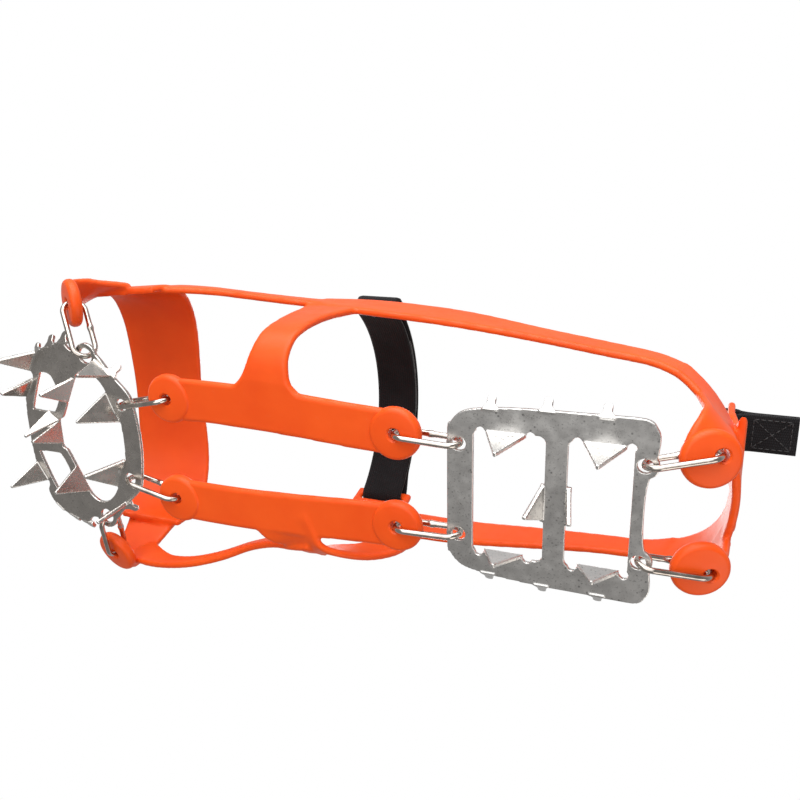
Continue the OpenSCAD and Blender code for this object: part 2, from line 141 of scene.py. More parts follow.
def area_light(name, place, aim, size, power, colour=(1, 1, 1)):
    light = bpy.data.lights.new(name, "AREA")
    light.shape = "DISK"
    light.size = size
    light.energy = power
    light.color = colour
    lamp = bpy.data.objects.new(name, light)
    bpy.context.scene.collection.objects.link(lamp)
    lamp.location = place
    lamp.visible_camera = False
    lamp.rotation_euler = (Vector(aim) - Vector(place)).to_track_quat("-Z", "Y").to_euler()


def light_scene(right, up, back):
    """Soft lamps around the object, and a surround that is white to the camera but grey in reflections."""
    middle = (cad_low + cad_high) / 2
    area_light("key", middle + up * 0.85 + back * 0.4 - right * 0.1, middle, 1.2, 13.0)
    area_light("front_fill", middle + back * 0.95 - right * 0.3 + up * 0.2, middle, 1.3, 6.5)
    area_light("low_fill", middle - up * 0.6 + back * 0.5 + right * 0.4, middle, 0.6, 1.6, (1, 0.94, 0.88))
    area_light("overhead", middle + Vector((0.25, -0.35, 0.9)), middle, 0.7, 3.0)
    world = bpy.data.worlds.new("studio")
    world.use_nodes = True
    bpy.context.scene.world = world
    tree = world.node_tree
    direction = tree.nodes.new("ShaderNodeTexCoord")
    split = tree.nodes.new("ShaderNodeSeparateXYZ")
    remap = tree.nodes.new("ShaderNodeMapRange")
    remap.inputs["From Min"].default_value = -1
    remap.inputs["From Max"].default_value = 1
    tree.links.new(direction.outputs["Generated"], split.inputs[0])
    tree.links.new(split.outputs["Z"], remap.inputs["Value"])
    surround = ramp(tree, remap.outputs["Result"], [(0.42, (0.255, 0.249, 0.243)), (0.74, (0.5, 0.5, 0.5))])
    seen = tree.nodes.new("ShaderNodeLightPath")
    backdrop = mixed(tree, seen.outputs["Is Camera Ray"], surround, (1.0, 1.0, 1.0, 1))
    tree.links.new(backdrop, tree.nodes["Background"].inputs["Color"])


def make_floor():
    """A pale studio floor under the spikes.  It shows only from above; the view from below looks past it."""
    bpy.ops.mesh.primitive_plane_add(size=6, location=(0, 0, cad_low.z))
    floor = bpy.context.object
    floor.name = "floor"
    made = bpy.data.materials.new("floor_paper")
    made.use_nodes = True
    tree = made.node_tree
    paper = tree.nodes["Principled BSDF"]
    paper.inputs["Base Color"].default_value = (0.62, 0.62, 0.615, 1)
    paper.inputs["Roughness"].default_value = 0.9
    clear = tree.nodes.new("ShaderNodeBsdfTransparent")
    mix = tree.nodes.new("ShaderNodeMixShader")
    geometry = tree.nodes.new("ShaderNodeNewGeometry")
    tree.links.new(geometry.outputs["Backfacing"], mix.inputs["Fac"])
    tree.links.new(paper.outputs[0], mix.inputs[1])
    tree.links.new(clear.outputs[0], mix.inputs[2])
    tree.links.new(mix.outputs[0], tree.nodes["Material Output"].inputs["Surface"])
    floor.data.materials.append(made)
    floor.visible_shadow = False
    floor.visible_diffuse = False
    floor.visible_glossy = False


# ---------------------------------------------------------------- materials

def new_material(name):
    made = bpy.data.materials.new(name)
    made.use_nodes = True
    return made, made.node_tree, made.node_tree.nodes["Principled BSDF"]


def node(tree, kind, **values):
    """A new node with some of its inputs set.  In their names an underscore stands for a space."""
    made = tree.nodes.new(kind)
    for key, value in values.items():
        made.inputs[key.replace("_", " ")].default_value = value
    return made


def noise(tree, scale, detail=4.0, rough=0.55):
    made = node(tree, "ShaderNodeTexNoise", Scale=scale, Detail=detail, Roughness=rough)
    place = tree.nodes.new("ShaderNodeTexCoord")
    tree.links.new(place.outputs["Object"], made.inputs["Vector"])
    return made.outputs["Fac"]


def ramp(tree, source, stops):
    """A colour ramp.  Each stop is (position, colour)."""
    made = tree.nodes.new("ShaderNodeValToRGB")
    elements = made.color_ramp.elements
    while len(elements) < len(stops):
        elements.new(0.5)
    for element, (position, colour) in zip(elements, stops):
        element.position = position
        element.color = (*colour, 1) if len(colour) == 3 else colour
    tree.links.new(source, made.inputs["Fac"])
    return made.outputs["Color"]


def grey(*stops):
    """Ramp stops from (position, value) pairs."""
    return [(position, (value, value, value)) for position, value in stops]


def mixed(tree, factor, a, b, blend="MIX"):
    made = tree.nodes.new("ShaderNodeMix")
    made.data_type = "RGBA"
    made.blend_type = blend
    for socket, value in ((made.inputs[0], factor), (made.inputs[6], a), (made.inputs[7], b)):
        if isinstance(value, (float, tuple)):
            socket.default_value = value
        else:
            tree.links.new(value, socket)
    return made.outputs[2]


def bump(tree, height, strength, distance_mm, after=None):
    made = node(tree, "ShaderNodeBump", Strength=strength, Distance=distance_mm * MM)
    tree.links.new(height, made.inputs["Height"])
    if after is not None:
        tree.links.new(after, made.inputs["Normal"])
    return made.outputs["Normal"]


def elastomer():
    """Bright orange moulded elastomer: satin, with faint flow clouding and a fine moulded grain."""
    made, tree, skin = new_material("elastomer_orange")
    cloud = noise(tree, 38, 3)
    colour = ramp(tree, cloud, [(0.3, (0.86, 0.080, 0.006)), (0.7, (0.94, 0.105, 0.009))])
    dust = ramp(tree, noise(tree, 420, 6, 0.7), grey((0.62, 0), (0.8, 0.06)))
    tree.links.new(mixed(tree, dust, colour, (0.95, 0.55, 0.36, 1)), skin.inputs["Base Color"])
    tree.links.new(ramp(tree, noise(tree, 160, 5), grey((0.3, 0.36), (0.75, 0.47))), skin.inputs["Roughness"])
    grain = bump(tree, noise(tree, 2600, 3), 0.12, 0.05)
    tree.links.new(bump(tree, noise(tree, 95, 4), 0.2, 0.25, grain), skin.inputs["Normal"])
    skin.inputs["IOR"].default_value = 1.42
    skin.inputs["Specular IOR Level"].default_value = 0.4
    skin.inputs["Subsurface Weight"].default_value = 0.06
    skin.inputs["Subsurface Radius"].default_value = (0.004, 0.0012, 0.0005)
    return made


def plate_steel(name, tint, pitting, polish):
    """Tumbled stamped steel: satin grey with stains and sparse dark pits, and a painted highlight on its convex
    edges and folds.
    """
    made, tree, metal = new_material(name)
    geometry = tree.nodes.new("ShaderNodeNewGeometry")
    stains = ramp(tree, noise(tree, 60, 8, 0.62), grey((0.30, 0.66), (0.5, 0.74), (0.70, 0.80)))
    toned = mixed(tree, 1.0, stains, (*tint, 1), "MULTIPLY")
    pits = ramp(tree, noise(tree, 1100, 6, 0.75), grey((0.30, 1 - pitting), (0.45, 1.0)))
    cells = node(tree, "ShaderNodeTexVoronoi", Scale=420.0)
    place = tree.nodes.new("ShaderNodeTexCoord")
    tree.links.new(place.outputs["Object"], cells.inputs["Vector"])
    flecks = ramp(tree, cells.outputs["Distance"], grey((0.08, 1 - pitting), (0.2, 1.0)))
    patchy = ramp(tree, noise(tree, 48, 3), grey((0.40, 1), (0.58, 0)))
    worn = mixed(tree, patchy, flecks, (1.0, 1.0, 1.0, 1))
    skin = mixed(tree, 1.0, mixed(tree, 1.0, toned, pits, "MULTIPLY"), worn, "MULTIPLY")
    # Lighter base colour on convex edges and folds: a painted highlight.
    painted_edge_highlight = ramp(tree, geometry.outputs["Pointiness"], grey((0.515, 0), (0.56, 1)))
    tree.links.new(mixed(tree, painted_edge_highlight, skin, (0.86, 0.84, 0.81, 1)), metal.inputs["Base Color"])
    metal.inputs["Metallic"].default_value = 1.0
    tree.links.new(ramp(tree, noise(tree, 240, 5), grey((0.3, polish), (0.7, polish + 0.14))),
                   metal.inputs["Roughness"])
    fine = bump(tree, noise(tree, 1800, 5, 0.7), 0.12, 0.05)
    tree.links.new(bump(tree, noise(tree, 130, 4), 0.16, 0.12, fine), metal.inputs["Normal"])
    return made


def link_steel():
    """Nickel-plated wire: bright, warm, with drawn streaks and small scuffs."""
    made, tree, metal = new_material("link_nickel")
    tint = ramp(tree, noise(tree, 180, 5), [(0.3, (0.40, 0.35, 0.31)), (0.65, (0.66, 0.61, 0.56))])
    tree.links.new(tint, metal.inputs["Base Color"])
    metal.inputs["Metallic"].default_value = 1.0
    tree.links.new(ramp(tree, noise(tree, 500, 5), grey((0.35, 0.08), (0.7, 0.22))),
                   metal.inputs["Roughness"])
    tree.links.new(bump(tree, noise(tree, 700, 4), 0.15, 0.05), metal.inputs["Normal"])
    return made


# Spacing of the webbing's cords and of the picks that cross them
WARP_MM = 1.1
PICK_MM = 0.85


def webbing_cloth():
    """Black polyester webbing: warp cords along the strap, crossed by weft picks offset from cord to cord, with
    painted shade where the weave is low.
    """
    made, tree, cloth = new_material("webbing_black")
    place = tree.nodes.new("ShaderNodeUVMap")
    split = tree.nodes.new("ShaderNodeSeparateXYZ")
    tree.links.new(place.outputs["UV"], split.inputs[0])

    def math_node(operation, a, b=0.0):
        step = tree.nodes.new("ShaderNodeMath")
        step.operation = operation
        for socket, value in ((step.inputs[0], a), (step.inputs[1], b)):
            if isinstance(value, float):
                socket.default_value = value
            else:
                tree.links.new(value, socket)
        return step.outputs[0]

    across = math_node("MULTIPLY", split.outputs["Y"], 1 / (WARP_MM * MM))
    cord = math_node("FLOOR", across)
    along = math_node("MULTIPLY", split.outputs["X"], 1 / (PICK_MM * MM))
    shifted = math_node("ADD", along, math_node("MULTIPLY", cord, 0.5))
    pick = math_node("ABSOLUTE", math_node("SINE", math_node("MULTIPLY", shifted, math.pi)))
    ridge = math_node("ABSOLUTE", math_node("SINE", math_node("MULTIPLY", across, math.pi)))
    height = math_node("MULTIPLY", math_node("POWER", pick, 0.6), math_node("POWER", ridge, 0.5))
    # Darker colour where the weave is low: painted shade between the cords and the picks.
    colour = ramp(tree, height, [(0.1, (0.003, 0.003, 0.0035)), (0.9, (0.015, 0.015, 0.017))])
    faded = ramp(tree, noise(tree, 90, 4), grey((0.35, 0.75), (0.7, 1.25)))
    tree.links.new(mixed(tree, 1.0, colour, faded, "MULTIPLY"), cloth.inputs["Base Color"])
    cloth.inputs["Roughness"].default_value = 0.8
    cloth.inputs["Specular IOR Level"].default_value = 0.2
    cloth.inputs["Sheen Weight"].default_value = 0.1
    cloth.inputs["Sheen Roughness"].default_value = 0.4
    tree.links.new(bump(tree, height, 0.9, 0.16), cloth.inputs["Normal"])
    return made


def pile_cloth(name, scale, depth):
    """Black hook or loop pile, with painted shade in its hollows."""
    made, tree, cloth = new_material(name)
    tuft = noise(tree, scale, 4, 0.7)
    # Darker colour where the bump is low: painted shade in the pile's hollows.
    tree.links.new(ramp(tree, tuft, [(0.3, (0.004, 0.004, 0.005)), (0.75, (0.035, 0.035, 0.038))]),
                   cloth.inputs["Base Color"])
    cloth.inputs["Roughness"].default_value = 0.9
    cloth.inputs["Sheen Weight"].default_value = 0.5
    tree.links.new(bump(tree, tuft, 0.9, depth), cloth.inputs["Normal"])
    return made


def thread():
    """Black sewing thread, with a fine twist."""
    made, tree, cloth = new_material("stitch_thread")
    twist = ramp(tree, noise(tree, 3000, 2), [(0.3, (0.012, 0.012, 0.013)), (0.7, (0.05, 0.05, 0.053))])
    tree.links.new(twist, cloth.inputs["Base Color"])
    cloth.inputs["Roughness"].default_value = 0.55
    return made


# ---------------------------------------------------------------- mesh helpers

def to_object(name, vertices, faces, material=None):
    """A mesh object from points in millimetres."""
    mesh = bpy.data.meshes.new(name)
    mesh.from_pydata([at(*v) for v in vertices], [], [list(f) for f in faces])
    mesh.validate()
    made = bpy.data.objects.new(name, mesh)
    bpy.context.scene.collection.objects.link(made)
    if material:
        mesh.materials.append(material)
    return made


def catmull(a, b, c, d, u):
    return 0.5 * (2 * b + (c - a) * u + (2 * a - 5 * b + 4 * c - d) * u**2 + (3 * b - a - 3 * c + d) * u**3)


def smoothed(rows, steps):
    """Catmull-Rom rows through the given ones."""
    rows = np.array(rows, float)
    padded = np.vstack([rows[:1], rows, rows[-1:]])
    out = [catmull(*padded[i:i + 4], j / steps) for i in range(len(rows) - 1) for j in range(steps)]
    return np.array(out + [rows[-1]])


def unit(v):
    return v / np.linalg.norm(v)


def rounded_section(width, thick, radius, per_corner=4):
    """Points round a rectangle with round corners, as (across, up)."""
    radius = min(radius, thick / 2, width / 2)
    out = []
    for cx, cy, start in ((1, 1, 0), (-1, 1, 90), (-1, -1, 180), (1, -1, 270)):
        for i in range(per_corner + 1):
            a = math.radians(start + 90 * i / per_corner)
            out.append((cx * (width / 2 - radius) + radius * math.cos(a),
                        cy * (thick / 2 - radius) + radius * math.sin(a)))
    return out


def loft(rings, closed=False):
    """Vertices and faces of a tube through equal rings of points, capped unless closed into a loop."""
    rings = [list(r) for r in rings]
    n, m = len(rings), len(rings[0])
    faces = []
    for i in range(n if closed else n - 1):
        for j in range(m):
            a, b = i * m + j, i * m + (j + 1) % m
            step = ((i + 1) % n - i) * m
            faces.append((a, b, b + step, a + step))
    if not closed:
        faces.append(tuple(range(m - 1, -1, -1)))
        faces.append(tuple(range((n - 1) * m, n * m)))
    return [p for r in rings for p in r], faces


def band(stations, thick=BAND_T, steps=6, radius=1.25):
    """A moulded band.  Each station is [x, y, z, outward normal x, y, z, width]."""
    s = smoothed(stations, steps)
    rings = []
    for i, row in enumerate(s):
        tangent = unit(s[min(i + 1, len(s) - 1), :3] - s[max(i - 1, 0), :3])
        side = unit(np.cross(tangent, row[3:6]))
        up = np.cross(side, tangent)
        rings.append([row[:3] + side * x + up * y for x, y in rounded_section(row[6], thick, radius)])
    return loft(rings)


def mirrored(stations, side):
    """The stations of a band on the given side, from those on the left.  side is 1 or -1."""
    return [[x, side * y, z, nx, side * ny, nz, w] for x, y, z, nx, ny, nz, w in stations]


def lathe(profile, centre, axis, steps=56):
    """A solid of revolution.  The profile is (radius, height) from the bottom of the axis to its top."""
    axis = Vector(axis).normalized()
    u = axis.orthogonal().normalized()
    v = axis.cross(u)
    rings = []
    for radius, height in profile:
        rings.append([Vector(centre) + axis * height
                      + (u * math.cos(a) + v * math.sin(a)) * max(radius, 0.01)
                      for a in (2 * math.pi * k / steps for k in range(steps))])
    return loft(rings)


def joined(parts):
    """One vertex and face list from several."""
    vertices, faces = [], []
    for v, f in parts:
        base = len(vertices)
        vertices += list(v)
        faces += [tuple(i + base for i in face) for face in f]
    return vertices, faces


def applied(obj):
    """Replaces obj's mesh by what its modifiers make of it."""
    graph = bpy.context.evaluated_depsgraph_get()
    mesh = bpy.data.meshes.new_from_object(obj.evaluated_get(graph))
    obj.modifiers.clear()
    obj.data = mesh
    return obj


def shade_smooth(obj):
    obj.data.polygons.foreach_set("use_smooth", [True] * len(obj.data.polygons))


def fused(obj, voxel_mm, relax=0.5, rounds=4, keep=0.6):
    """Fuses overlapping closed shapes into one skin and relaxes it, which rounds edges and fillets joints.

    keep is the share of the faces that is kept afterwards.
    """
    remesh = obj.modifiers.new("fuse", "REMESH")
    remesh.mode = "VOXEL"
    remesh.voxel_size = voxel_mm * MM
    relaxed = obj.modifiers.new("relax", "SMOOTH")
    relaxed.factor = relax
    relaxed.iterations = rounds
    thinned = obj.modifiers.new("thin", "DECIMATE")
    thinned.ratio = keep
    applied(obj)
    shade_smooth(obj)
    return obj


def combine(obj, operation, vertices, faces):
    """Adds a closed shape to obj, or cuts it out."""
    tool = to_object("tool", vertices, faces)
    boolean = obj.modifiers.new("combine", "BOOLEAN")
    boolean.operation = operation
    boolean.object = tool
    boolean.solver = "MANIFOLD"
    applied(obj)
    bpy.data.objects.remove(tool)


# ---------------------------------------------------------------- harness

# Every station of a band is [x, y, z, outward normal x, y, z, width]; those of the sole strap are [x, y].
STRAP_W = 17.5
SOLE_STRAP = [[57, 18.4], [74, 19.2], [96, 20.6], [120, 21.6], [138, 21.8], [152, 21.5]]
SIDE_ARM_LEFT = [
    [108, 25, 0.8, 0, 0, -1, 36], [107.8, 30, 0.8, 0, 0, -1, 27], [107.5, 34, 0.9, 0, 0.1, -1, 20.5],
    [106.5, 42, 2.4, 0, 0.4, -0.9, 16.5], [105.5, 48, 7.6, 0, 0.85, -0.5, 15.5],
    [105, 50.4, 16, 0, 1, -0.1, 15.5], [105, 51, 30, 0, 1, 0, 16.5],
    [105, 50.4, 44, 0, 1, 0.1, 20], [105, 49.6, 56, 0, 1, 0.15, 26]]
SIDE_ARM_RIGHT = [
    [104.5, -22, 0.8, 0, 0, -1, 31], [102.6, -25.6, 1, 0, -0.05, -1, 26],
    [98.6, -29.6, 2, 0, -0.3, -0.95, 20], [92.4, -35.9, 4.2, 0.05, -0.7, -0.7, 16.5],
    [84.5, -39, 10.2, 0.05, -0.93, -0.35, 15.5], [77, -42.2, 19, 0, -1, -0.1, 15.5],
    [73.5, -45, 31, 0, -1, 0.03, 17.5], [75.5, -47, 44, 0, -1, 0.04, 21],
    [80.5, -48.6, 53, 0, -1, 0.02, 27], [84, -49.4, 60, 0, -1, 0.02, 36]]
# The front end of each rear rail, by side, written as on the left
RAIL_REAR_ENDS = {1: [115, 50.2, 60.6, 0, 1, 0.06, 16], -1: [109.4, 50.2, 64.4, 0, 1, 0.06, 12]}
RAIL_REAR = [
    [95, 49.9, 61.6, 0, 1, 0.02, 20.5], [70, 49, 60.6, 0, 1, 0, 21], [45, 47.4, 58.8, 0, 1, 0, 19.5],
    [15, 43.9, 57, 0, 1, 0.03, 16], [-10, 41, 55, -0.06, 1, 0, 14],
    [-28, 39, 52.6, -0.25, 1, 0, 13.5], [-38.5, 36, 49.8, -0.5, 0.9, 0, 16]]
RAIL_FRONT_LEFT = [
    [112, 50.3, 60, 0, 1, 0.12, 13], [128, 51.6, 57.4, 0, 1, 0.1, 10], [146, 53, 55.6, 0, 1, 0.08, 8],
    [164, 54.2, 54.6, 0, 1, 0.06, 8.5], [182, 54.6, 52.6, 0.02, 1, 0.1, 14],
    [194, 54, 50, 0.05, 1, 0.15, 22]]
RAIL_FRONT_RIGHT = [
    [92, -37.2, 5, 0, -0.8, -0.6, 13], [102, -38.4, 8, 0, -1, -0.3, 11],
    [113, -39.8, 10.4, -0.1, -1, -0.1, 9], [126, -44.2, 11, -0.1, -1, -0.1, 7.5],
    [140, -50.4, 9.2, -0.15, -1, 0, 7], [154, -55.2, 8, -0.15, -1, 0, 7.5],
    [168, -58.9, 9.6, -0.1, -1, 0, 9], [180, -61.6, 14, -0.1, -1, 0, 12],
    [195, -64, 22, 0, -1, 0.05, 16]]
TOE_BRIDGE_HALF = [
    [199, 55.2, 36, 0.08, 1, -0.05, 30], [200.5, 54.6, 46, 0.1, 1, 0.16, 34],
    [202.5, 50.6, 56.6, 0.14, 0.8, 0.55, 37], [204.5, 42, 64.4, 0.18, 0.42, 0.9, 38],
    [206, 28, 69.4, 0.2, 0.16, 0.96, 37]]
TOE_BRIDGE_CROWN = [[207, 0, 71.4, 0.2, 0, 0.98, 35]]
TOE_EAR_LEFT = [
    [204.5, 55.4, 10.3, 0.64, -0.04, -0.77, 17], [209.8, 55, 14.7, 0.68, 0.05, -0.74, 17],
    [213, 55.2, 20, 0.9, 0.3, -0.3, 17], [213, 55.8, 27, 0.75, 0.65, 0, 18],
    [210.5, 56, 34, 0.45, 0.9, 0.05, 20], [206.5, 55.8, 43, 0.15, 1, 0.05, 25]]
TOE_EAR_RIGHT = [
    [196.8, -59.9, 9.7, 0.17, -0.35, -0.92, 17], [197.8, -63.2, 11.6, 0.2, -0.6, -0.8, 17],
    [198.6, -65.2, 16, 0.1, -1, -0.3, 17], [199.2, -65, 22, 0.06, -1, 0.06, 18],
    [200, -62, 31, 0.04, -1, 0.2, 21], [200.8, -56.8, 42, 0.06, -1, 0.2, 26]]
HEEL_BAND = [
    [-36, 37.2, 50.6, -0.4, 1, 0, 15], [-41.4, 33.8, 48.6, -0.65, 0.9, 0, 16],
    [-47.4, 28.6, 45.4, -0.8, 0.7, 0, 19], [-53.2, 21.4, 42, -0.9, 0.44, 0, 24],
    [-57.8, 12.6, 39.8, -1, 0.2, 0, 29], [-60, 0, 38.4, -1, 0, 0, 31],
    [-59, -13, 39.6, -1, -0.16, 0, 29], [-56.4, -22, 42, -0.92, -0.4, 0, 25],
    [-51, -29.2, 45.4, -0.8, -0.7, 0, 20], [-44, -34.2, 48.4, -0.65, -0.9, 0, 17],
    [-36, -37.4, 50.6, -0.4, -1, 0, 15]]
HEEL_TONGUE = [
    [-60, 0, 44, -1, 0, 0, 46], [-60, 0, 52, -1, 0, 0.04, 38], [-59.4, 0, 62, -1, 0, 0.1, 28],
    [-58, 0, 72, -1, 0, 0.14, 24], [-56.5, 0, 82, -1, 0, 0.1, 24]]
HEEL_EAR_LEFT = [
    [-50.4, 21.6, 7.9, -0.3, 0.1, -1, 18], [-51.6, 25.4, 9.4, -0.34, 0.3, -0.9, 17.5],
    [-52.2, 27.8, 13.4, -0.62, 0.62, -0.5, 16], [-52, 28.4, 20, -0.74, 0.66, -0.1, 14.5],
    [-50.6, 27.6, 28, -0.76, 0.64, 0, 14], [-48.8, 26.6, 38, -0.78, 0.62, 0.05, 15]]
HEEL_EAR_RIGHT = [
    [-51.4, -19.6, 8.2, -0.4, -0.1, -1, 18], [-54, -21, 10, -0.6, -0.3, -0.8, 16],
    [-55.8, -21.8, 14.4, -0.86, -0.42, -0.3, 13.5], [-56.4, -22, 21, -0.9, -0.42, -0.05, 12.5],
    [-56.4, -21.8, 28, -0.9, -0.42, 0, 12.5], [-55.8, -21.6, 36, -0.9, -0.4, 0.05, 14]]
# Profiles of a disc and of its flared bore, as (radius, height)
PUCK = [(0, -DISC_HALF), (8.3, -DISC_HALF), (8.9, -2.15), (9.4, -1.8), (9.8, -1.2), (DISC_R, -0.6),
        (DISC_R, 0.6), (9.8, 1.2), (9.4, 1.8), (8.9, 2.15), (8.3, DISC_HALF), (0, DISC_HALF)]
BORE = [(3.5, -3.2), (3.0, -2.4), (BORE_R, -1.7), (BORE_R, 1.7), (3.0, 2.4), (3.5, 3.2)]
# The bars that the webbing goes round: the pull's at (x, z), the instep's at (y, z) on each side
PULL_BAR = (-56, 95)
INSTEP_BAR = (46, 81)
LUG_X = 95
LUG_TILT = 14
LUG_T = 3.0


def both_halves(half, middle):
    """A band across the object, from its left half and the stations on the middle line."""
    return half + middle + mirrored(half[::-1], -1)


def lug(wide, post, drop, slot_h, place):
    """A slotted tab for webbing, with round edges.

    wide and slot_h size the slot, post is the width beside it, and drop reaches from the bar to the root.
    place turns the tab's own plane (y = 0) into the object's millimetres.
    """
    bar_h, edge, corner = 4.0, 1.3, 1.2
    outer_x, top, low = wide / 2 + post, bar_h / 2, -drop
    parts = []

    def bar(x0, x1, z0, z1):
        ring_a = [(x0, y, (z0 + z1) / 2 + z) for z, y in rounded_section(z1 - z0, LUG_T, edge)]
        ring_b = [(x1, y, z) for _, y, z in ring_a]
        parts.append(loft([ring_a, ring_b]))

    bar(-outer_x + corner, outer_x - corner, top - bar_h, top)
    bar(-outer_x, outer_x, low, top - bar_h - slot_h)
    for side in (-1, 1):
        x0, x1 = sorted((side * wide / 2, side * outer_x))
        ring_a = [((x0 + x1) / 2 + x, y, low) for x, y in rounded_section(x1 - x0, LUG_T, edge)]
        ring_b = [(x, y, top - 0.8) for x, y, _ in ring_a]
        parts.append(loft([ring_a, ring_b]))
    vertices, faces = joined(parts)
    return [place @ Vector(v) for v in vertices], faces


def harness_discs():
    """Each disc as [link kind, side, shift of the puck along the link and across it]."""
    for side in SIDES:
        yield "heel_front", side, (0, 0)
        yield "fore_rear", side, (1.0, 0)
        yield "toe", side, (0, 0)
        yield "heel_rear", side, (-3.4, SIDES[side] * 1.0)


def make_harness(material):
    """The one-piece moulding: bands, discs and lugs fused into one skin, with the disc bores cut last."""
    parts = []
    for name, side in SIDES.items():
        sole = [[x, side * y, PLATE_MID, 0, 0, -1, STRAP_W] for x, y in SOLE_STRAP]
        parts += [band(sole), band(mirrored([RAIL_REAR_ENDS[side]] + RAIL_REAR, side))]
        tilt = Matrix.Rotation(math.radians(side * LUG_TILT), 4, "X")
        place = Matrix.Translation((LUG_X, side * INSTEP_BAR[0], INSTEP_BAR[1])) @ tilt
        parts.append(lug(wide=20, post=3.6, drop=12.5, slot_h=3.4, place=place))
    for stations in (SIDE_ARM_LEFT, SIDE_ARM_RIGHT, RAIL_FRONT_LEFT, RAIL_FRONT_RIGHT, TOE_EAR_LEFT,
                     TOE_EAR_RIGHT, HEEL_EAR_LEFT, HEEL_EAR_RIGHT, HEEL_BAND, HEEL_TONGUE):
        parts.append(band(stations))
    parts.append(band(both_halves(TOE_BRIDGE_HALF, TOE_BRIDGE_CROWN)))
    place = Matrix.Translation((PULL_BAR[0], 0, PULL_BAR[1])) @ Matrix.Rotation(math.pi / 2, 4, "Z")
    parts.append(lug(wide=17.4, post=3.4, drop=18, slot_h=4, place=place))
    pucks, bores = [], []
    for kind, side, (shift, across) in harness_discs():
        disc, along, axis = link_axes(kind, side)
        centre = disc + along * shift + axis.cross(along) * across
        pucks.append(lathe(PUCK, centre, axis, 72))
        bores.append(lathe(BORE, disc, axis, 32))
    harness = to_object("harness_moulding", *joined(parts), material)
    fused(harness, 0.8)
    combine(harness, "UNION", *joined(pucks))
    combine(harness, "DIFFERENCE", *joined(bores))
    shade_smooth(harness)
    harness.data.set_sharp_from_angle(angle=math.radians(32))
    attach(harness, "harness")
    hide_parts(*[n for n in frame["nodes"] if n.startswith("harness_")])


# ---------------------------------------------------------------- plates and links

def make_plate(name, material):
    """The stamped plate with its cut edges and folds rounded as tumbling leaves them."""
    source = frame["nodes"][name]
    mesh = source.data.copy()
    plate = bpy.data.objects.new(name + "_stamping", mesh)
    bpy.context.scene.collection.objects.link(plate)
    mesh.materials.clear()
    mesh.materials.append(material)
    weld = plate.modifiers.new("weld", "WELD")
    weld.merge_threshold = 0.01 * MM
    fused(plate, 0.3, rounds=3)
    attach(plate, name)
    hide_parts(name)


WELD_SPREAD = 1.1
WELD_HEIGHT = 0.28


def make_link(kind, side, material):
    """An oval of round wire, with the bump of its butt weld halfway along one side."""
    disc, along, axis = link_axes(kind, side)
    place = Matrix((along, axis.cross(along), axis)).transposed().to_4x4()
    place = Matrix.Translation(disc - along * LINK_PITCH) @ place
    near, far = LINK_R - LINK_OVER, LINK_PITCH + LINK_OVER - LINK_R
    middle = (near + far) / 2
    path = []
    for centre, start, level in ((far, -90, LINK_R), (near, 90, -LINK_R)):
        for turn in range(0, 181, 9):
            a = math.radians(start + turn)
            path.append((centre + LINK_R * math.cos(a), LINK_R * math.sin(a)))
        run = math.copysign(far - near, level)
        path += [(middle - run * (u - 0.5), level) for u in np.linspace(0.04, 0.96, 24)]
    path = np.array(path)
    rings = []
    for i, (x, z) in enumerate(path):
        tangent = unit(path[(i + 1) % len(path)] - path[i - 1])
        normal = np.array([-tangent[1], tangent[0]])
        weld = math.exp(-((x - middle) / WELD_SPREAD) ** 2) if z > LINK_R - 0.01 else 0.0
        radius = WIRE_R + WELD_HEIGHT * weld
        rings.append([place @ Vector((x + normal[0] * radius * math.cos(a), radius * math.sin(a),
                                      z + normal[1] * radius * math.cos(a)))
                      for a in (2 * math.pi * k / 16 for k in range(16))])
    name = f"link_{kind}_{side}"
    link = to_object(name + "_wire", *loft(rings, closed=True), material)
    shade_smooth(link)
    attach(link, name)
    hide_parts(name)


# ---------------------------------------------------------------- webbing

WEB_T = 1.8
WEB_W = 19.0
PULL_W = 16.0
PATCH_T = 0.8
WRAP_R = 3.6
# Height of the instep webbing's second ply above its first, in thicknesses
PLY = 0.97
STITCH_PITCH = 2.6
THREAD_R = 0.24
# The instep webbing lies on an arc about y = 0, its top at ARCH_TOP, that passes WRAP_R below both bars.
# Angles along it are in degrees, from +y towards +z.
ARCH_TOP = 100.0
ARCH_Z = ((INSTEP_BAR[0] ** 2 + INSTEP_BAR[1] ** 2 - (ARCH_TOP + WRAP_R) ** 2)
          / (2 * (INSTEP_BAR[1] - ARCH_TOP - WRAP_R)))
ARCH_R = ARCH_TOP - ARCH_Z
BAR_ANG = math.degrees(math.atan2(INSTEP_BAR[1] - ARCH_Z, INSTEP_BAR[0]))
FLAP_GAP = 0.35
FLAP_RAD = ARCH_R + WEB_T + 2 * PATCH_T + FLAP_GAP
FOLD_PAST_BAR = 1.3
FLAP_START = BAR_ANG + math.degrees(FOLD_PAST_BAR / ARCH_R)
FLAP_END = 104.0


def polar(radius, angle):
    """A point (y, z) at an angle about the arch's centre."""
    a = math.radians(angle)
    return np.array([radius * math.cos(a), ARCH_Z + radius * math.sin(a)])


def about_bar(angle):
    """A point (y, z) of the wrap round the left bar."""
    a = math.radians(angle)
    return np.array([INSTEP_BAR[0] + WRAP_R * math.cos(a), INSTEP_BAR[1] + WRAP_R * math.sin(a)])


def arc(radius, start, end, count):
    return [polar(radius, start + (end - start) * i / count) for i in range(count + 1)]


def ease(u):
    return u * u * (3 - 2 * u)


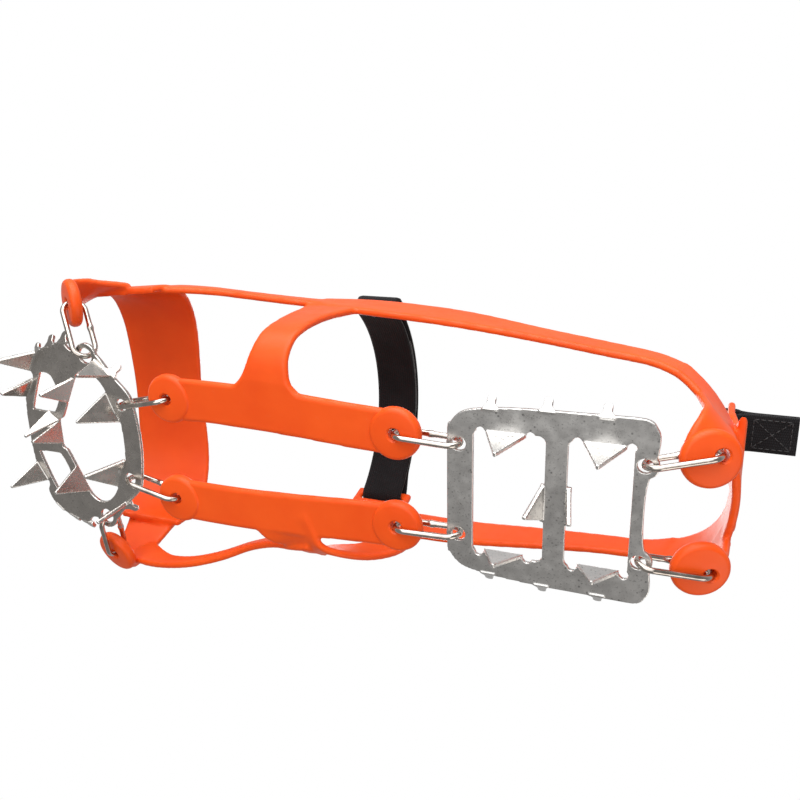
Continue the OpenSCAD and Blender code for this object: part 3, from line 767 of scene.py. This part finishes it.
def ribbon(name, path, thick, wide, place, material, edge=0.55, across=14):
    """Webbing along a path in its own plane, with soft selvedges and UVs in metres along and across it.

    place(p, q, s) turns the path point (p, q) and the distance across s into millimetres.
    """
    path = np.array(path, float)
    travel = np.concatenate([[0], np.cumsum(np.linalg.norm(np.diff(path, axis=0), axis=1))])
    half = wide / 2
    grid = np.linspace(-half, half, across + 1)
    top = [(s, thick / 2 * (1 - 0.35 * max(0, (abs(s) - half + edge) / edge) ** 2)) for s in grid]
    section = top + [(s, -h) for s, h in reversed(top)]
    rings = []
    for i, point in enumerate(path):
        d = unit(path[min(i + 1, len(path) - 1)] - path[max(i - 1, 0)])
        normal = np.array([-d[1], d[0]])
        rings.append([place(*(point + normal * h), s) for s, h in section])
    vertices, faces = loft(rings)
    made = to_object(name, vertices, faces, material)
    layer = made.data.uv_layers.new(name="UVMap")
    count = len(section)
    for loop in made.data.loops:
        ring, spot = divmod(loop.vertex_index, count)
        layer.data[loop.index].uv = (travel[ring] * MM, (section[spot][0] + half) * MM)
    shade_smooth(made)
    return made


def stitch(start, end, lift):
    """One sewn stitch: a short thread that bows up out of the cloth, its ends sunk in it."""
    bow, sink = 0.34, 0.16
    start, end, lift = Vector(start), Vector(end), Vector(lift).normalized()
    along = (end - start).normalized()
    side = along.cross(lift)
    rings = []
    for i in range(7):
        u = i / 6
        middle = start.lerp(end, u) + lift * (bow * math.sin(math.pi * u) - sink)
        rings.append([middle + (side * math.cos(a) + lift * math.sin(a)) * THREAD_R
                      for a in (2 * math.pi * k / 6 for k in range(6))])
    return loft(rings)


def sewn(cloth, seams, material):
    """Adds rows of stitches to a piece of webbing.  Each seam is (start, end, lift) in millimetres."""
    parts = []
    for start, end, lift in seams:
        start, end = Vector(start), Vector(end)
        count = max(1, round((end - start).length / STITCH_PITCH))
        for i in range(count):
            a, b = (i + 0.1) / count, (i + 0.88) / count
            parts.append(stitch(start.lerp(end, a), start.lerp(end, b), lift))
    threads = to_object(cloth.name + "_thread", *joined(parts), material)
    shade_smooth(threads)
    bpy.ops.object.select_all(action="DESELECT")
    threads.select_set(True)
    cloth.select_set(True)
    bpy.context.view_layer.objects.active = cloth
    bpy.ops.object.join()


def across_x(p, q, s):
    """The place of the instep pieces: their path is in the plane of y and z, and they are wide along x."""
    return (LUG_X + s, p, q)


def instep_paths():
    """The webbing over the arch, its wrap round a bar, and the end that is sewn back on to the webbing."""
    drop, sewn_to = 14, 33.2
    wrap = [about_bar(BAR_ANG + 180 + i * 15) for i in range(1, 13)]
    over = arc(ARCH_R, 180 - BAR_ANG, BAR_ANG, 40)
    doubled = [polar(ARCH_R + 2 * WRAP_R - (2 * WRAP_R - WEB_T * PLY) * ease(i / 6), BAR_ANG + drop * i / 6)
               for i in range(1, 7)]
    doubled += arc(ARCH_R + WEB_T * PLY, BAR_ANG + drop + 2, BAR_ANG + sewn_to, 8)
    return over + wrap, wrap, doubled


def flip(points):
    """The same points on the other side of the object."""
    return [np.array([-p, q]) for p, q in points]


def make_instep(web, hook, loops, thread_material):
    """The strap over the instep, its free flap, and the two halves of the closure between them."""
    strap, wrap, doubled = instep_paths()
    right_end = flip(wrap + doubled)[::-1]
    whole = right_end + strap
    strap_piece = ribbon("instep_webbing", whole, WEB_T, WEB_W, across_x, web)
    seams = []
    low, high, top = BAR_ANG + 19, BAR_ANG + 31.5, ARCH_R + WEB_T * (PLY + 0.5)
    side = 7
    box = (((low, -side), (low, side)), ((high, -side), (high, side)), ((low, -side), (high, -side)),
           ((low, side), (high, side)), ((low, -side), (high, side)))
    for start, end in box:
        ends = [Vector(across_x(-p, q, s)) for (p, q), s in ((polar(top, a), s) for a, s in (start, end))]
        p, q = polar(1, (low + high) / 2)
        seams.append((*ends, (0, -p, q - ARCH_Z)))
    sewn(strap_piece, seams, thread_material)
    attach(strap_piece, "harness")
    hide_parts("instep_strap")

    wrapped = ARCH_R + 2 * WRAP_R
    lift = [polar(wrapped + (FLAP_RAD - wrapped) * ease(i / 7), FLAP_START + 12 * i / 7) for i in range(8)]
    flap_path = [wrap[-2], wrap[-1]] + lift + arc(FLAP_RAD, FLAP_START + 14, FLAP_END, 24)
    flap = ribbon("instep_flap_webbing", smoothed(flap_path, 3), WEB_T, WEB_W - 0.3, across_x, web)
    at(LUG_X, *wrap[-1])
    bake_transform(flap)
    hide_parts("instep_strap_flap")

    hook_path = arc(FLAP_RAD - WEB_T / 2 - PATCH_T / 2, BAR_ANG + 24, FLAP_END - 4, 40)
    hooks = ribbon("hook_pad", hook_path, PATCH_T, WEB_W - 1, across_x, hook)
    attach(hooks, "strap_flap")
    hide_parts("hook_patch")

    loop_end = 122
    loop_path = arc(ARCH_R + WEB_T / 2 + PATCH_T / 2, BAR_ANG + 22, loop_end, 60)
    pile = ribbon("loop_pad", loop_path, PATCH_T, WEB_W - 1, across_x, loops)
    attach(pile, "harness")
    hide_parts("loop_patch")


def make_pull(web, thread_material):
    """One strip of webbing folded round the bar of the lug, its two plies sewn together behind it."""
    def place(p, q, s):
        return (PULL_BAR[0] + p, s, PULL_BAR[1] + q)

    bar_clear, reach, half_gap = 3.4, 26.0, 0.86
    eye = bar_clear + WEB_T * 0.45
    lower = [(-reach, -half_gap), (-18, -half_gap), (-11, -0.87), (-7.4, -1.1)]
    upper = [(p, -q) for p, q in reversed(lower)]
    eye_turn = [(eye * math.cos(math.radians(a)), eye * math.sin(math.radians(a)))
                for a in range(-150, 151, 15)]
    folded = ribbon("pull_webbing", smoothed(lower + eye_turn + upper, 4), WEB_T * 0.94, PULL_W, place, web)
    seams = []
    near, far, side = -9, -23.6, 6.2
    box = [(near, -side), (near, side), (far, side), (far, -side)]
    rows = [(box[i], box[(i + 1) % 4]) for i in range(4)] + [(box[0], box[2]), (box[1], box[3])]
    for face in (-1, 1):
        level = face * (half_gap + WEB_T * 0.47)
        for start, end in rows:
            seams.append((place(start[0], level, start[1]), place(end[0], level, end[1]), (0, 0, face)))
    sewn(folded, seams, thread_material)
    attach(folded, "heel_pull")
    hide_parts("heel_pull_loop")


# ---------------------------------------------------------------- the object

def build():
    orange, nickel, web = elastomer(), link_steel(), webbing_cloth()
    heel_steel = plate_steel("heel_plate_steel", (1.0, 0.985, 0.96), 0.6, 0.26)
    fore_steel = plate_steel("forefoot_plate_steel", (0.80, 0.76, 0.715), 0.35, 0.20)
    hook, pile = pile_cloth("hook_tape", 1600.0, 0.35), pile_cloth("loop_tape", 900.0, 0.4)
    make_harness(orange)
    make_plate("heel_plate", heel_steel)
    make_plate("forefoot_plate", fore_steel)
    for kind in HOLES:
        for side in SIDES:
            make_link(kind, side, nickel)
    sewing = thread()
    make_instep(web, hook, pile, sewing)
    make_pull(web, sewing)


bpy.context.scene.view_settings.view_transform = "Standard"
camera_axes = make_camera()
light_scene(*camera_axes)
make_floor()
build()
